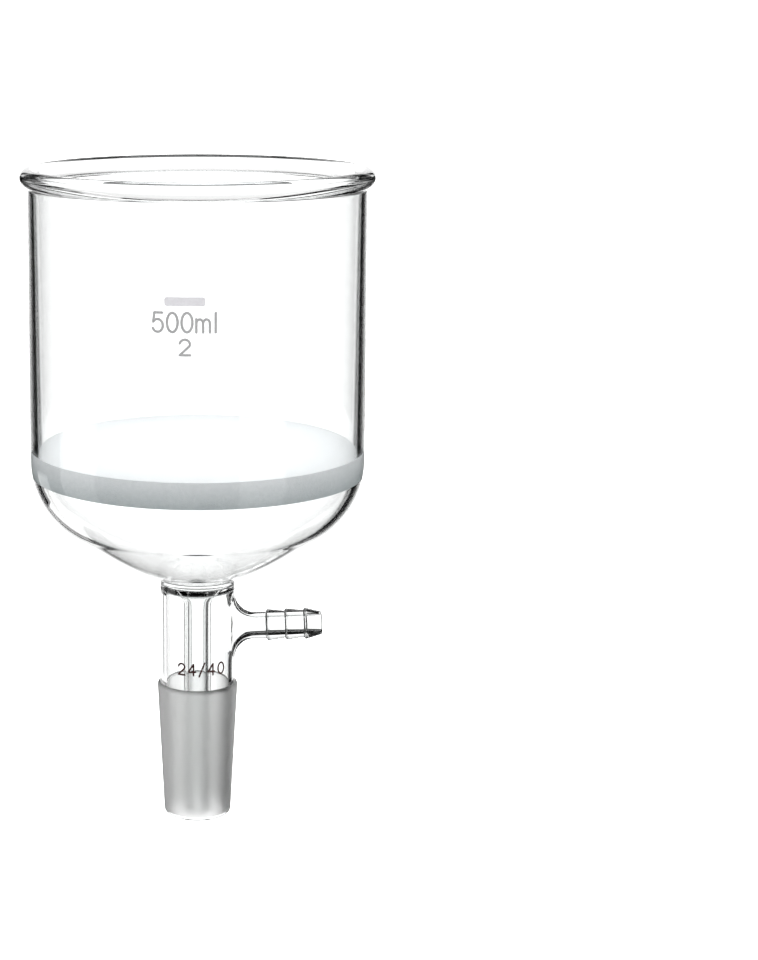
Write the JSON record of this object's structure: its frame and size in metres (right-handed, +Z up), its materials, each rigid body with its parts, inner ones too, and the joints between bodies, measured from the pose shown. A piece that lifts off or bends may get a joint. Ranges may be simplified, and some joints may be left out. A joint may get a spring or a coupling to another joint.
{
  "type": "buchner funnel",
  "caption": "Glass filter funnel: rolled-rim bowl over a fused-in sintered disc, vacuum jacket with side arm and hose barb, ground cone and drip tube.",
  "frame": {"origin": "centre of the ground cone's large end, on the funnel's axis", "axes": "+Z up the funnel's axis towards the mouth; +X is the side the side arm points to; the marks face -Y"},
  "size_m": [0.1018, 0.1018, 0.1947],
  "materials": {
    "clear_glass": "clear, fire-polished borosilicate glass",
    "ground_glass": "finely ground, matt and translucent",
    "sintered_glass": "white, granular sintered glass",
    "pale_enamel": "fired-on pale grey enamel, semi-matt",
    "grey_enamel": "fired-on grey enamel, semi-matt",
    "dark_enamel": "fired-on dark brown enamel, semi-matt"
  },
  "bodies": {
    "root": {"rolled_rim": "clear_glass", "bowl_wall": "clear_glass", "frit_disc": "sintered_glass", "dome_bottom": "clear_glass", "ring_seal": "clear_glass", "jacket_tube": "clear_glass", "side_arm": "clear_glass", "hose_barb": "clear_glass", "joint_cone": "ground_glass", "drip_tube": "clear_glass", "marking_bar": "pale_enamel", "capacity_mark": "grey_enamel", "grade_mark": "grey_enamel", "joint_size_mark": "dark_enamel"}
  },
  "joints": []
}
